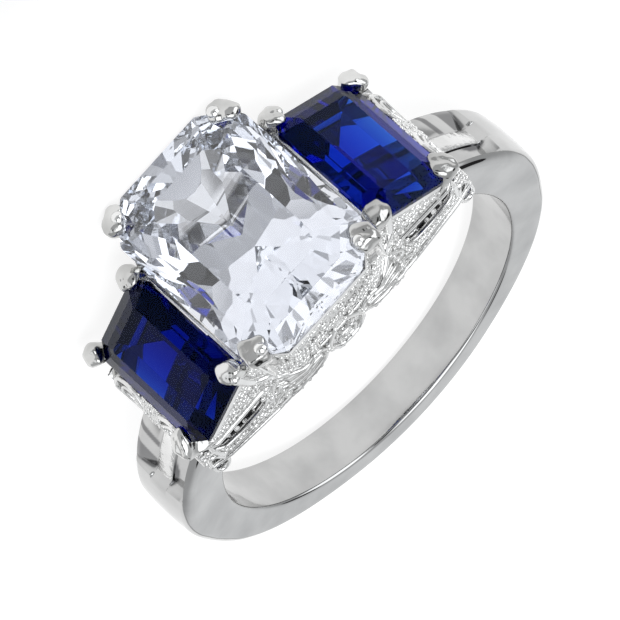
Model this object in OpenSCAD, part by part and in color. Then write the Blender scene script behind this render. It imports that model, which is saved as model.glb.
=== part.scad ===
/* [Finger] */
// Radius of the finger hole
finger_r = 8.45; // [7.5:0.05:9.5]

/* [Shank] */
// Width of the shank at the back of the finger
shank_w = 2.45; // [2:0.05:3]
// Thickness of the shank at the back of the finger
shank_t = 1.45; // [1.2:0.05:2]
// Width of the shoulders, measured on their outer face
shoulder_w = 3.4; // [3:0.05:4.2]
// Width of the shoulders, measured at the finger
shoulder_inner_w = 2.75; // [2.4:0.05:3.3]
// Thickness at the sides of the finger
shoulder_t = 2.05; // [1.7:0.05:2.4]
// Further rise of the shoulders towards their panels
shoulder_rise = 0.3; // [0.1:0.05:0.4]
// Width of the band under the head
band_w = 2.2; // [1.6:0.05:2.6]
// Thickness of the band under the head
band_t = 0.9; // [0.7:0.05:1.2]
// Rounding of the outer edges
edge_r = 0.42; // [0.2:0.02:0.5]
// Softened corner at the finger
comfort = 0.15; // [0.08:0.01:0.2]
// Rise of the outer face in its middle
dome = 0.12; // [0.05:0.01:0.2]

/* [Shoulder panels] */
// Width of the raised bar between the sunk panels
bar_w = 0.9; // [0.7:0.05:1.2]
// Width of the rim outside each sunk panel
panel_rim = 0.3; // [0.2:0.05:0.4]
// Depth of the sunk panels
panel_depth = 0.35; // [0.2:0.05:0.5]
// Angle from the back of the finger at which the panels start
panel_start = 117; // [113:1:119]
// Angle from the back of the finger at which the panels end
panel_end = 131; // [128:1:132]

/* [Center stone] */
// Length of the center stone, along the finger
center_l = 9.7; // [9:0.1:10.4]
// Width of the center stone, across the finger
center_w = 7.2; // [6.6:0.1:7.6]
// Corner cut of the center stone
center_cut = 1.4; // [1:0.05:1.7]
// Height of its girdle over the finger's axis
center_h = 15.4; // [15:0.1:16]
// Crown height of the center stone
center_crown = 1.25; // [1:0.05:1.5]
// Pavilion depth of the center stone
center_pavilion = 4.1; // [3.6:0.1:4.4]

/* [Side stones] */
// Length of a side stone, along the finger
side_l = 6.4; // [5.8:0.1:7]
// Width of a side stone, across the finger
side_w = 4.25; // [3.8:0.05:4.6]
// Corner cut of a side stone
side_cut = 0.65; // [0.5:0.05:0.9]
// Distance of the inner edge from the ring's middle
side_x = 3.95; // [3.9:0.05:4.2]
// Drop of the inner edge under the center stone's girdle
side_drop = 2; // [1.8:0.1:2.4]
// Outward tilt of a side stone
side_tilt = 35; // [30:1:38]
// Crown height of a side stone
side_crown = 0.75; // [0.6:0.05:0.9]
// Pavilion depth of a side stone
side_pavilion = 2.3; // [2:0.1:2.6]

/* [Gallery] */
// Half width of the gallery's foot in the ring's middle
foot_half_w = 3.55; // [3.3:0.05:3.7]
// Half width of the gallery's foot at its ends
foot_end_half_w = 2.2; // [2.05:0.05:2.4]
// Height of the gallery's foot at its ends, over the finger's axis
foot_end_h = 6.6; // [6.2:0.1:7]
// Room between the side stones' outer edges and the gallery's ends
end_room = 0.42; // [0.3:0.02:0.6]
// Thickness of the gallery's walls
wall_t = 0.75; // [0.6:0.05:0.9]
// How far the stones stand out over the walls and seats
overhang = 0.2; // [0.15:0.05:0.3]
// Height of the rail along the top of the walls
rail_h = 0.55; // [0.4:0.05:0.7]
// Height of the rail half way down the walls
mid_rail_h = 0.4; // [0.3:0.05:0.5]
// Height of the rail along the foot of the walls
foot_rail_h = 0.7; // [0.5:0.05:0.9]
// How far the rails stand out of the walls
relief = 0.14; // [0.08:0.02:0.18]
// Width of the seat under each stone
seat_w = 0.6; // [0.5:0.05:0.7]
// Depth of the seat under each stone
seat_t = 0.9; // [0.7:0.05:1.1]

/* [Claws] */
// Radius of the center stone's claws
claw_r = 0.58; // [0.5:0.02:0.64]
// Radius of the side stones' claws
side_claw_r = 0.46; // [0.4:0.02:0.5]
// Length of the center stone's claws under its girdle
claw_drop = 4.2; // [3.5:0.1:5]
// How far the side stones' outer claws stand out from the stones
side_claw_stand = 0.34; // [0.2:0.02:0.4]
// Length of the side stones' claws under their girdles
side_claw_drop = 2.6; // [2:0.1:3]

/* [Fit] */
// Gap between each stone and the metal
stone_gap = 0.06; // [0.04:0.01:0.1]

/* [Hidden] */
metal = [0.86, 0.87, 0.88];
clear_stone = [0.86, 0.9, 0.95];
blue_stone = [0.03, 0.1, 0.45];

girdle_t = 0.16;
bore_margin = 0.25;
keel_w = 0.3;
bar_step = 0.05;
top_drop = 0.3;
side_top_drop = 0.2;
end_face_h = 1;
end_setback = 0.06;
seat_setback = 0.05;
shank_steps = 72;
claw_sides = 8;
shoulder_r = finger_r + shoulder_t + shoulder_rise;
side_h = center_h - side_drop;
side_out_x = side_x + side_w * cos(side_tilt);
side_out_h = side_h - side_w * sin(side_tilt);
gallery_x = side_out_x + end_room;

// A claw, from its foot to its tip: height over the girdle, distance outwards from the middle of
// the corner cut, and radius, all as shares of the claw's radius
claw_rows = [[-0.5, 0.35, 1], [0.3, 0.15, 1], [0.75, -0.1, 0.85], [1.05, -0.25, 0.55],
             [1.12, -0.3, 0.25]];

// The ring lies on its side. It touches the surface with two claws of the center stone and with
// the edge of the shank at the back of the finger. Both are taken as circles, and the tilt is
// that of the line which touches both.
claw_touch = [center_l / 2 - center_cut / 2 + claw_rows[0][1] * claw_r * sin(45),
              center_h + claw_rows[0][0] * claw_r];
edge_touch = [shank_w / 2 - edge_r, -finger_r - shank_t + edge_r];
rest_tilt = atan2(claw_touch[0] - edge_touch[0], claw_touch[1] - edge_touch[1])
    + asin((claw_r - edge_r) / norm(claw_touch - edge_touch));

function mix(a, b, t) = a + (b - a) * t;
function blend(a, b, x) = let (t = max(0, min(1, (x - a) / (b - a)))) t * t * (3 - 2 * t);
function around(r, n, angle) = [r * sin(angle), n, -r * cos(angle)];
function turned(list) = [for (i = [len(list) - 1 : -1 : 0]) list[i]];

module both_ends() {
    children();
    mirror([1, 0, 0]) children();
}

module both_sides() {
    children();
    mirror([0, 1, 0]) children();
}

// A skin over rings of points. Each ring runs anticlockwise, seen from the end of the stack.
module skin(rings, closed = false) {
    m = len(rings[0]);
    count = len(rings);
    sides = [for (i = [0 : count - (closed ? 1 : 2)], j = [0 : m - 1])
        let (k = (i + 1) % count, a = i * m + j, b = i * m + (j + 1) % m,
             c = k * m + (j + 1) % m, d = k * m + j)
        each [[a, c, b], [a, d, c]]];
    caps = [[for (j = [0 : m - 1]) j], [for (j = [m - 1 : -1 : 0]) (count - 1) * m + j]];
    polyhedron(points = [for (r = rings) each r], faces = closed ? sides : concat(sides, caps),
               convexity = 10);
}

// The shank's section at an angle from the back of the finger. Its points are radius and place
// along the finger.
function shank_section(angle) =
    let (grow = blend(25, panel_start - 5, abs(angle)),
         head = blend(panel_end + 2, panel_end + 10, abs(angle)),
         outer = mix(mix(shank_w, shoulder_w, grow), band_w, head) / 2,
         inner = mix(mix(shank_w, shoulder_inner_w, grow), band_w, head) / 2,
         full = mix(shank_t, shoulder_t, grow)
             + shoulder_rise * blend(panel_start - 35, panel_start - 11, abs(angle)),
         out_r = finger_r + mix(full, band_t, head),
         round_r = mix(edge_r, edge_r / 3, head),
         half = concat(
             [[finger_r - bore_margin, inner - comfort - bore_margin], [finger_r + comfort, inner]],
             [for (t = [0 : 30 : 90])
                 [out_r - round_r + round_r * sin(t), outer - round_r + round_r * cos(t)]]))
    concat([for (p = half) [p[0], -p[1]]], [[out_r + dome * (1 - head), 0]], turned(half));

module shank_skin() {
    skin([for (i = [0 : shank_steps - 1])
        let (a = 360 * (i + 0.5) / shank_steps - 180)
        [for (p = shank_section(a)) around(p[0], p[1], a)]], closed = true);
}

// A sunk panel is cut along the finger, over the angles from a to b
module panel_cut(a, b) {
    w = shoulder_w / 2 - bar_w / 2 - panel_rim;
    translate([0, bar_w / 2 + w, 0]) rotate([90, 0, 0]) linear_extrude(height = w)
        polygon(concat(
            [for (t = [0 : 3]) let (q = mix(a, b, t / 3)) (shoulder_r - panel_depth) * [sin(q), -cos(q)]],
            [for (q = [b, a]) (shoulder_r + panel_depth) * [sin(q), -cos(q)]]));
}

module shoulder_panels() {
    middle = mix(panel_start, panel_end, 0.56);
    rib_angle = 1.6;
    panel_cut(panel_start, middle - rib_angle);
    panel_cut(middle + rib_angle, panel_end);
}

// The raised bar between the panels, with a pointed lower end
module shoulder_bar() {
    half = bar_w / 2 - bar_step;
    low = shoulder_r - panel_depth;
    high = shoulder_r + dome + relief;
    skin([for (row = [[-3, 0.2], [0, 1], [8, 1], [15, 1]])
        let (n = half * row[1], a = panel_start + row[0])
        [around(low, -n, a), around(high, -n, a), around(high, n, a), around(low, n, a)]]);
}

// The gallery's top edge: distance from the ring's middle, half width and height
top_edge = [
    [0, center_l / 2 - overhang, center_h - top_drop],
    [center_w / 2 - center_cut, center_l / 2 - overhang, center_h - top_drop],
    [center_w / 2 - overhang, center_l / 2 - center_cut, center_h - top_drop],
    [side_x, side_l / 2 - overhang, side_h - side_top_drop],
    [side_out_x - side_cut, side_l / 2 - overhang,
     side_out_h + side_cut * tan(side_tilt) - side_top_drop],
    [side_out_x, side_l / 2 - side_cut, side_out_h - side_top_drop],
    [gallery_x, side_l / 2 - side_cut, side_out_h - 2 * side_top_drop]];
top_steps = [2, 2, 1, 3, 1, 1];
wall_half = concat([for (i = [0 : 5], s = [0 : top_steps[i] - 1])
    mix(top_edge[i][0], top_edge[i + 1][0], s / top_steps[i])], [gallery_x]);
wall_stations = concat([for (i = [len(wall_half) - 1 : -1 : 1]) -wall_half[i]], wall_half);

function top_at(x) = [lookup(x, [for (row = top_edge) [row[0], row[1]]]),
                      lookup(x, [for (row = top_edge) [row[0], row[2]]])];
function foot_at(x) = [mix(foot_half_w, foot_end_half_w, pow(x / gallery_x, 1.6)),
                       max(sqrt(max(0, pow(finger_r - bore_margin, 2) - x * x)),
                           foot_end_h + 0.18 * (gallery_x - x))];

// A point of a gallery wall: a share of the way down and a distance further, and a distance out
function wall_point(x, share, down, out) =
    let (top = top_at(abs(x)), foot = foot_at(abs(x)),
         p = mix(top, foot, share + down / norm(foot - top)))
    [x, p[0] + out, p[1]];

// The section of a gallery wall, with its rails, from the outer top edge inwards: share of the
// way down, distance further down and distance out
wall_section = [
    [0, 0, relief], [0, 0, -wall_t], [1, 0, -wall_t], [1, 0, relief],
    [1, -foot_rail_h, relief], [1, -foot_rail_h, 0],
    [0.5, mid_rail_h / 2, 0], [0.5, mid_rail_h / 2, relief],
    [0.5, -mid_rail_h / 2, relief], [0.5, -mid_rail_h / 2, 0],
    [0, rail_h, 0], [0, rail_h, relief]];

// The openings: distance from the middle and width, as shares of the gallery's half length, and
// the shares of the way down between which they lie
openings = [[0, 0.127, 0.6, 0.86], [0.089, 0.115, 0.15, 0.43], [0.204, 0.127, 0.6, 0.86],
            [0.242, 0.102, 0.15, 0.41], [0.388, 0.108, 0.6, 0.82], [0.573, 0.096, 0.22, 0.43],
            [0.567, 0.121, 0.6, 0.8], [0.688, 0.096, 0.22, 0.43], [0.732, 0.121, 0.6, 0.8],
            [0.802, 0.089, 0.23, 0.43]];
opening_outline = [[0, 0], [0.36, 0.16], [0.5, 0.42], [0.4, 0.76], [0, 1],
                   [-0.4, 0.76], [-0.5, 0.42], [-0.36, 0.16]];

module wall_opening(x, w, from, to) {
    high = wall_point(x, from, 0, 0)[2];
    low = wall_point(x, to, 0, 0)[2];
    translate([x, center_l, 0]) rotate([90, 0, 0])
        linear_extrude(height = center_l - foot_end_half_w / 2)
        polygon([for (p = opening_outline) [w * p[0], mix(low, high, p[1])]]);
}

module gallery_wall() {
    difference() {
        skin([for (x = wall_stations) [for (p = wall_section) wall_point(x, p[0], p[1], p[2])]]);
        for (row = openings, s = row[0] == 0 ? [1] : [-1, 1])
            wall_opening(s * row[0] * gallery_x, row[1] * gallery_x, row[2], row[3]);
    }
}

// The outer end of a side stone's basket, with two round openings. Its sides end inside the
// gallery's walls, which also stand out beyond its outer face.
module end_wall() {
    half = min(foot_end_half_w, side_l / 2 - side_cut) - wall_t / 3;
    out_x = gallery_x - end_setback;
    difference() {
        translate([0, half, 0]) rotate([90, 0, 0]) linear_extrude(height = 2 * half)
            polygon([[side_out_x - seat_w, side_out_h - side_top_drop / 2],
                     [side_out_x - end_setback, side_out_h - 1.5 * side_top_drop],
                     [out_x, foot_end_h + end_face_h], [out_x, foot_end_h + end_setback],
                     [out_x - wall_t, foot_end_h + end_setback],
                     [side_out_x - seat_w, side_out_h - 1.3 * seat_t]]);
        both_sides() translate([0, half / 2, mix(foot_end_h, side_out_h, 0.6)])
            rotate([0, 90, 0]) cylinder(h = 2 * gallery_x, r = half / 4, $fn = 8);
    }
}

// A rib across the gallery's foot
module foot_rib() {
    x = center_w / 2 + claw_r / 2;
    half = foot_at(x)[0] - wall_t / 2;
    rotate([0, asin(x / finger_r), 0]) translate([-seat_w / 2, -half, finger_r - bore_margin])
        cube([seat_w, 2 * half, band_t]);
}

// A rectangle with its corners cut
function cut_corners(half_x, half_y, cut) = let (k = min(cut, 0.9 * half_x, 0.9 * half_y)) [
    [half_x, -half_y + k], [half_x, half_y - k], [half_x - k, half_y], [-half_x + k, half_y],
    [-half_x, half_y - k], [-half_x, -half_y + k], [-half_x + k, -half_y], [half_x - k, -half_y]];

// A stone with the top of its girdle at z = 0, grown by a gap on all sides
module stone(w, l, cut, crown, crown_in, pavilion, gap = 0) {
    rows = [[-girdle_t - pavilion - gap, w / 2 - keel_w / 2, 0.1],
            [-girdle_t - 0.55 * pavilion, 0.2 * w, 0.6],
            [-girdle_t, 0, 1], [0, 0, 1], [0.5 * crown, 0.4 * crown_in, 1],
            [crown + gap, crown_in, 1]];
    skin([for (row = rows)
        [for (p = cut_corners(w / 2 - row[1] + gap, l / 2 - row[1] + gap,
                              cut * row[2] + (2 - sqrt(2)) * gap))
            [p[0], p[1], row[0]]]]);
}

module center_shape(gap = 0) {
    stone(center_w, center_l, center_cut, center_crown, center_crown, center_pavilion, gap);
}

module side_shape(gap = 0) {
    stone(side_w, side_l, side_cut, side_crown, side_crown, side_pavilion, gap);
}

module at_center() { translate([0, 0, center_h]) children(); }

module at_side() {
    translate([(side_x + side_out_x) / 2, 0, (side_h + side_out_h) / 2])
        rotate([0, side_tilt, 0]) children();
}

// The open frame that a stone's pavilion rests in, just inside the top edge of the gallery
module seat(w, l, cut) {
    x = w / 2 - overhang - seat_setback;
    y = l / 2 - overhang - seat_setback;
    translate([0, 0, -girdle_t - seat_t]) linear_extrude(height = seat_t) difference() {
        polygon(cut_corners(x, y, cut));
        polygon(cut_corners(x - seat_w, y - seat_w, cut - seat_w / 2));
    }
}

// A claw at a corner of a stone, from its foot on the wall to its tip over the crown
module claw(w, l, cut, r, drop, stand = 0) {
    rows = concat([[-drop, -0.13 * drop, 0.72 * r, 0], [-0.4 * drop, -0.1 * r, 0.8 * r, 0.6]],
                  [for (row = claw_rows) concat(r * row, 1)]);
    skin([for (row = rows) [for (i = [0 : claw_sides - 1])
        let (q = 360 * i / claw_sides, out = row[1] * sin(45) - cut / 2)
        [w / 2 + out + stand * row[3] + row[2] * cos(q), l / 2 + out + row[2] * sin(q), row[0]]]]);
}

// Turns the ring from its own frame, with its head up and the finger along y, to where it lies
module at_rest() { rotate([rest_tilt - 90, 0, 180]) children(); }

module ring_mount() {
    color(metal) at_rest() difference() {
        union() {
            difference() {
                shank_skin();
                both_ends() both_sides() shoulder_panels();
            }
            both_ends() {
                shoulder_bar();
                end_wall();
                foot_rib();
                at_side() {
                    seat(side_w, side_l, side_cut);
                    both_sides() {
                        claw(side_w, side_l, side_cut, side_claw_r, side_claw_drop, side_claw_stand);
                        mirror([1, 0, 0]) claw(side_w, side_l, side_cut, side_claw_r, side_claw_drop);
                    }
                }
            }
            both_sides() gallery_wall();
            at_center() {
                seat(center_w, center_l, center_cut);
                both_ends() both_sides() claw(center_w, center_l, center_cut, claw_r, claw_drop);
            }
        }
        rotate([90, 0, 0]) cylinder(h = 2 * center_l, r = finger_r, center = true, $fn = 144);
        at_center() center_shape(stone_gap);
        both_ends() at_side() side_shape(stone_gap);
    }
}

module center_stone() { color(clear_stone) at_rest() at_center() center_shape(); }

module right_stone() { color(blue_stone) at_rest() at_side() side_shape(); }

module left_stone() { color(blue_stone) at_rest() mirror([1, 0, 0]) at_side() side_shape(); }

ring_mount();
center_stone();
left_stone();
right_stone();
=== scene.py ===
import math

import bmesh
import bpy
import numpy as np
from mathutils import Matrix, Vector


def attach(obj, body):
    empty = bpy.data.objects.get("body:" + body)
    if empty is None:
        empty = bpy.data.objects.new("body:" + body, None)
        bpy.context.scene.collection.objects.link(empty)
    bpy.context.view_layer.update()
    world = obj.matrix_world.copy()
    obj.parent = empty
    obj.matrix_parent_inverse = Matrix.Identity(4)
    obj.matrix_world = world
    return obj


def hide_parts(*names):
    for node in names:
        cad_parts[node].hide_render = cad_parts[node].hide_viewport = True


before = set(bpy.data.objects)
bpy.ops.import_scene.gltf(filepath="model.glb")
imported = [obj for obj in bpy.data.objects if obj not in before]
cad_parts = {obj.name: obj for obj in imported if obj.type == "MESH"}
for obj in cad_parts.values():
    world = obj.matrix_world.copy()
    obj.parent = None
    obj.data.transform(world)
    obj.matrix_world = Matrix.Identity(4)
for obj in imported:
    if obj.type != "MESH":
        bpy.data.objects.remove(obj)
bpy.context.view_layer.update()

# Camera. It looks down at the ring from the side of the head, with a long lens, so that the stones
# face it and the ring's side and the inside of the shank show under them.
camera = bpy.data.cameras.new("camera")
camera.sensor_width = 36
camera.lens = 247.05
camera.clip_start = 0.01
camera.clip_end = 20
eye = bpy.data.objects.new("camera", camera)
bpy.context.scene.collection.objects.link(eye)
eye.matrix_world = Matrix((
    (-0.67137, -0.74111, 0.00401, 0.0010705),
    (0.38206, -0.35074, -0.855, -0.154905),
    (0.63505, -0.57249, 0.51862, 0.09169),
    (0, 0, 0, 1)))
bpy.context.scene.camera = eye

# Studio. A white tent with two large soft lamps and a few grey and black cards, which polished
# metal needs to look like metal. The opening for the lens is one of the dark places.
bpy.context.scene.view_settings.view_transform = "Standard"
tracing = bpy.context.scene.cycles
tracing.max_bounces = 26
tracing.transmission_bounces = 24
tracing.glossy_bounces = 12
tracing.diffuse_bounces = 3
tracing.caustics_reflective = False
tracing.caustics_refractive = False

tent = bpy.data.worlds.new("tent")
bpy.context.scene.world = tent
tent.use_nodes = True
air = tent.node_tree
air.nodes.clear()


def wired(tree, made, inputs):
    """Sets a node's inputs: each to a value, or by a link where it is another node's output, or
    another node, which stands for its first output."""
    for name, value in inputs.items():
        if isinstance(value, bpy.types.Node):
            value = value.outputs[0]
        if isinstance(value, bpy.types.NodeSocket):
            tree.links.new(value, made.inputs[name])
        else:
            made.inputs[name].default_value = value
    return made


def node(tree, kind, inputs, **settings):
    """A new node with its settings and its inputs."""
    made = tree.nodes.new(kind)
    for name, value in settings.items():
        setattr(made, name, value)
    return wired(tree, made, inputs)


direction = node(air, "ShaderNodeTexCoord", {}).outputs["Generated"]


def panel_of_light(toward, from_cosine, to_cosine, change, before):
    """Adds a soft-edged round panel to the tent: brighter, or darker where change is negative."""
    dot = node(air, "ShaderNodeVectorMath", {0: direction, 1: Vector(toward).normalized()},
               operation="DOT_PRODUCT")
    edge = node(air, "ShaderNodeMapRange",
                {"Value": dot.outputs["Value"], "From Min": from_cosine, "From Max": to_cosine,
                 "To Max": change}, interpolation_type="SMOOTHSTEP")
    return node(air, "ShaderNodeMath", {0: before, 1: edge}, operation="ADD")


# The brightness of the tent's plain cloth. Onto it come two lamps, a small one, the pale side behind
# the ring, the opening for the lens, and four black cards.
light = 0.55
for toward, from_cosine, to_cosine, change in (
        ((0.2, -0.35, 0.9), 0.8, 0.97, 1.9), ((-0.9, -0.2, 0.55), 0.86, 0.95, 1.6),
        ((0.92, -0.35, 0.15), 0.88, 0.96, 0.6), ((0, 0.97, 0.2), 0.55, 0.95, 0.42),
        ((0, -0.855, 0.519), 0.98, 0.993, -0.8), ((0.75, -0.6, 0.75), 0.965, 0.98, -0.9),
        ((-0.55, -0.75, 0.9), 0.97, 0.985, -0.9), ((-0.75, 0.5, 0.6), 0.975, 0.985, -0.9),
        ((0.45, 0.6, 0.75), 0.98, 0.99, -0.9)):
    light = panel_of_light(toward, from_cosine, to_cosine, change, light)
never_dark = node(air, "ShaderNodeMath", {0: light, 1: 0.03}, operation="MAXIMUM")
glow = node(air, "ShaderNodeBackground", {"Color": (0.97, 0.985, 1, 1), "Strength": never_dark})
node(air, "ShaderNodeOutputWorld", {"Surface": glow})

# Floor: a white sheet under the ring, at the height of its lowest points. It glows with painted light,
# brightest round the ring and fading softly away from it, which also washes out the ring's contact
# shadow.
FLOOR_Z = -0.00261
FLOOR_HALF = 3
floor_mesh = bpy.data.meshes.new("floor")
floor_mesh.from_pydata([(x * FLOOR_HALF, y * FLOOR_HALF, FLOOR_Z)
                        for x, y in ((-1, -1), (1, -1), (1, 1), (-1, 1))], [], [(0, 1, 2, 3)])
floor = bpy.data.objects.new("floor", floor_mesh)
bpy.context.scene.collection.objects.link(floor)
paper = bpy.data.materials.new("white paper")
paper.use_nodes = True
pulp = paper.node_tree
place = node(pulp, "ShaderNodeTexCoord", {}).outputs["Object"]
fibre = node(pulp, "ShaderNodeTexNoise", {"Vector": place, "Scale": 300})
shade = node(pulp, "ShaderNodeValToRGB", {"Fac": fibre})
shade.color_ramp.elements[0].color = (0.24, 0.24, 0.24, 1)
shade.color_ramp.elements[1].color = (0.28, 0.28, 0.28, 1)
# Painted light: the floor's own glow, strong near the ring and weak far off, stands in for a pool of
# lamp light.
from_glow_middle = node(pulp, "ShaderNodeVectorMath", {0: place, 1: (0, 0.012, 0)}, operation="SUBTRACT")
distance = node(pulp, "ShaderNodeVectorMath", {0: from_glow_middle}, operation="LENGTH")
painted_glow = node(pulp, "ShaderNodeMapRange",
               {"Value": distance.outputs["Value"], "From Min": 0.034, "From Max": 0.058,
                "To Min": 0.88, "To Max": 0.25}, interpolation_type="SMOOTHSTEP")
wired(pulp, pulp.nodes["Principled BSDF"],
      {"Base Color": shade, "Roughness": 0.9, "Specular IOR Level": 0.1,
       "Emission Color": (1, 1, 1, 1), "Emission Strength": painted_glow})
floor.data.materials.append(paper)

# Shank. One bar of polished platinum, bent round the finger and soldered to the head. It has a
# softened edge at the finger and rounded outer edges. Each shoulder is sunk on both sides of a
# raised bar, down to a polished floor. Sizes from here on are in millimetres.
FINGER_R = 8.45
LEAN = math.radians(8.44369)
# How far the shank reaches below the ring's middle where it lies.
SHANK_DEPTH = 2.6015
# Widths and thicknesses at the back of the finger, at the shoulders, and under the head.
BACK_WIDTH, SHOULDER_WIDTH, SHOULDER_INNER_WIDTH, HEAD_WIDTH = 2.45, 3.4, 2.75, 2.2
BACK_THICK, SHOULDER_THICK, HEAD_THICK = 1.434, 2.05, 0.9


def at_rest(points):
    """Millimetres in the ring's own frame (across, along the finger, up) to where the ring lies."""
    p = np.asarray(points, float).reshape(-1, 3)
    lay = math.sin(LEAN), math.cos(LEAN)
    return 0.001 * np.column_stack([
        -p[:, 0], -(p[:, 1] * lay[0] + p[:, 2] * lay[1]), -p[:, 1] * lay[1] + p[:, 2] * lay[0]])


def kept_above(points, depth, room=0.0):
    """Points of the ring's own frame. Those that would lie deeper than depth below the ring's middle
    when it rests are moved along the finger until they don't, and room further."""
    p = np.asarray(points, float)
    lowest = (depth + p[:, 2] * math.sin(LEAN)) / math.cos(LEAN) - room
    return np.column_stack([p[:, 0], np.minimum(p[:, 1], lowest), p[:, 2]])


def metal_piece(name, points, faces, material, crease=38):
    """A new piece from points in the ring's own frame. Edges sharper than crease stay crisp."""
    mesh = bpy.data.meshes.new(name)
    mesh.from_pydata(at_rest(points).tolist(), [], faces)
    mesh.shade_smooth()
    mesh.set_sharp_from_angle(angle=math.radians(crease))
    mesh.materials.append(material)
    piece = bpy.data.objects.new(name, mesh)
    bpy.context.scene.collection.objects.link(piece)
    return piece


def white_metal(name, low, high, grain, relief, dark, tint, painted_shade=False):
    """White metal. Its gloss varies between two roughnesses in soft patches, its tone between dark
    and tint, and its surface has a fine unevenness and the slow waves of hand polishing. Optionally, a
    point attribute of the piece darkens it towards near black: painted shade and painted dark
    reflections."""
    made = bpy.data.materials.new(name)
    made.use_nodes = True
    tree = made.node_tree
    where = node(tree, "ShaderNodeTexCoord", {}).outputs["Object"]
    cloud = node(tree, "ShaderNodeTexNoise", {"Vector": where, "Scale": 420, "Detail": 3})
    gloss = node(tree, "ShaderNodeMapRange",
                 {"Value": cloud, "From Min": 0.3, "From Max": 0.7, "To Min": low, "To Max": high})
    tone = node(tree, "ShaderNodeValToRGB", {"Fac": cloud})
    tone.color_ramp.elements[0].position = 0.3
    tone.color_ramp.elements[0].color = dark
    tone.color_ramp.elements[1].position = 0.62
    tone.color_ramp.elements[1].color = tint
    colour = tone
    # Painted shade: where the piece's attribute is set, the colour is darkened towards near black,
    # standing for shadow and dark reflections in hollows.
    if painted_shade:
        painted_shade_mask = node(tree, "ShaderNodeAttribute", {}, attribute_name="painted_shade")
        over = node(tree, "ShaderNodeMix", {"Factor": painted_shade_mask.outputs["Fac"], "A": colour,
                                            "B": (0.1, 0.1, 0.105, 1)}, data_type="RGBA")
        colour = over.outputs["Result"]
    fine = node(tree, "ShaderNodeTexNoise", {"Vector": where, "Scale": grain, "Detail": 4})
    slow = node(tree, "ShaderNodeTexNoise", {"Vector": where, "Scale": 190})
    wave = node(tree, "ShaderNodeBump", {"Height": slow, "Strength": 0.6, "Distance": 0.0003})
    bump = node(tree, "ShaderNodeBump", {"Height": fine, "Strength": relief,
                                         "Distance": 0.00004, "Normal": wave})
    wired(tree, tree.nodes["Principled BSDF"],
          {"Metallic": 1, "Base Color": colour, "Roughness": gloss, "Normal": bump})
    return made


polished = white_metal("polished platinum", 0.03, 0.1, 900, 0.12, (0.41, 0.41, 0.41, 1),
                       (0.53, 0.53, 0.527, 1), True)


def eased(a, b, x):
    """A smooth step from 0 at a to 1 at b."""
    t = np.clip((x - a) / (b - a), 0, 1)
    return t * t * (3 - 2 * t)


def mixed(a, b, t):
    """A value part of the way from a to b."""
    return a + (b - a) * t


# Angles of the shank's sections from the back of the finger, and places over its outer face.
half_turn = np.unique(np.concatenate([
    np.arange(0, 114, 1.5), np.arange(114.0, 134.01, 0.25), np.arange(135, 180.1, 1.5)]))
stations = np.unique(np.concatenate([-half_turn[1:-1], half_turn]))
top_u = np.unique(np.concatenate([
    np.linspace(0, 0.25, 4), [0.262, 0.272, 0.281, 0.29, 0.3, 0.312],
    np.linspace(0.36, 0.76, 7), [0.785, 0.8, 0.812, 0.822, 0.834, 0.85],
    np.linspace(0.875, 1.0, 7)]))
top_u = np.concatenate([-top_u[::-1], top_u[1:]])


def shank_ring(angle):
    """One closed section of the shank, at an angle from the back of the finger."""
    size = abs(angle)
    grow = eased(25, 112, size)
    head = eased(133, 141, size)
    outer = mixed(mixed(BACK_WIDTH, SHOULDER_WIDTH, grow), HEAD_WIDTH, head) / 2
    inner = mixed(mixed(BACK_WIDTH, SHOULDER_INNER_WIDTH, grow), HEAD_WIDTH, head) / 2
    full = mixed(BACK_THICK, SHOULDER_THICK, grow) + 0.3 * eased(82, 106, size)
    out_r = FINGER_R + mixed(full, HEAD_THICK, head)
    edge = mixed(0.42, 0.14, head)
    flat = outer - edge
    turn = np.clip((np.abs(top_u) - 0.8) / 0.2, 0, 1) * math.pi / 2
    n = np.where(np.abs(top_u) <= 0.8, np.abs(top_u) / 0.8 * flat, flat + edge * np.sin(turn))
    r = out_r - edge + edge * np.cos(turn)
    r = r + 0.12 * grow * (1 - head) * (1 - (n / outer) ** 2)
    # The panels are sunk beside the bar, and the bar's own bed between them.
    wide = eased(0.42, 0.52, n) * (1 - eased(1.26, 1.4, n))
    whole = eased(115.0, 116.4, size) * (1 - eased(131.4, 133.0, size))
    south = 0.48 * wide * whole
    north = (0.46 - 0.36 * (n - 0.5)) * eased(0.42, 0.52, n) * (1 - eased(1.52, 1.66, n)) * whole
    middle = 0.4 * (1 - eased(0.42, 0.52, n)) * eased(113.8, 117.2, size)
    r = r - np.where(top_u < 0, south, north) - middle
    side = np.sign(top_u) * n
    bevel = np.linspace(0, 1, 7)
    soft = 0.17
    inner_edge = [(FINGER_R + soft * (1 - math.cos(t * math.pi / 2)),
                   inner - soft + soft * math.sin(t * math.pi / 2)) for t in bevel]
    across = np.linspace(-(inner - soft), inner - soft, 9)
    # Round the section: outer face, one side, the face at the finger, and the other side.
    loop = list(zip(r, side))
    loop += [(mixed(out_r - edge, FINGER_R + soft, t), mixed(outer, inner, t))
             for t in (0.25, 0.5, 0.75, 0.92)]
    loop += inner_edge[::-1]
    loop += [(FINGER_R, v) for v in across[::-1][1:-1]]
    loop += [(p[0], -p[1]) for p in inner_edge]
    loop += [(mixed(out_r - edge, FINGER_R + soft, t), -mixed(outer, inner, t))
             for t in (0.92, 0.75, 0.5, 0.25)]
    a = math.radians(angle)
    return kept_above([(p[0] * math.sin(a), p[1], -p[0] * math.cos(a)) for p in loop], SHANK_DEPTH)


def tube(rings):
    """Faces between rings of points that close on themselves, as on a torus."""
    m, k = len(rings[0]), len(rings)
    faces = [[i * m + j, i * m + (j + 1) % m, (i + 1) % k * m + (j + 1) % m, (i + 1) % k * m + j]
             for i in range(k) for j in range(m)]
    return np.array([p for ring in rings for p in ring]), faces


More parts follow.
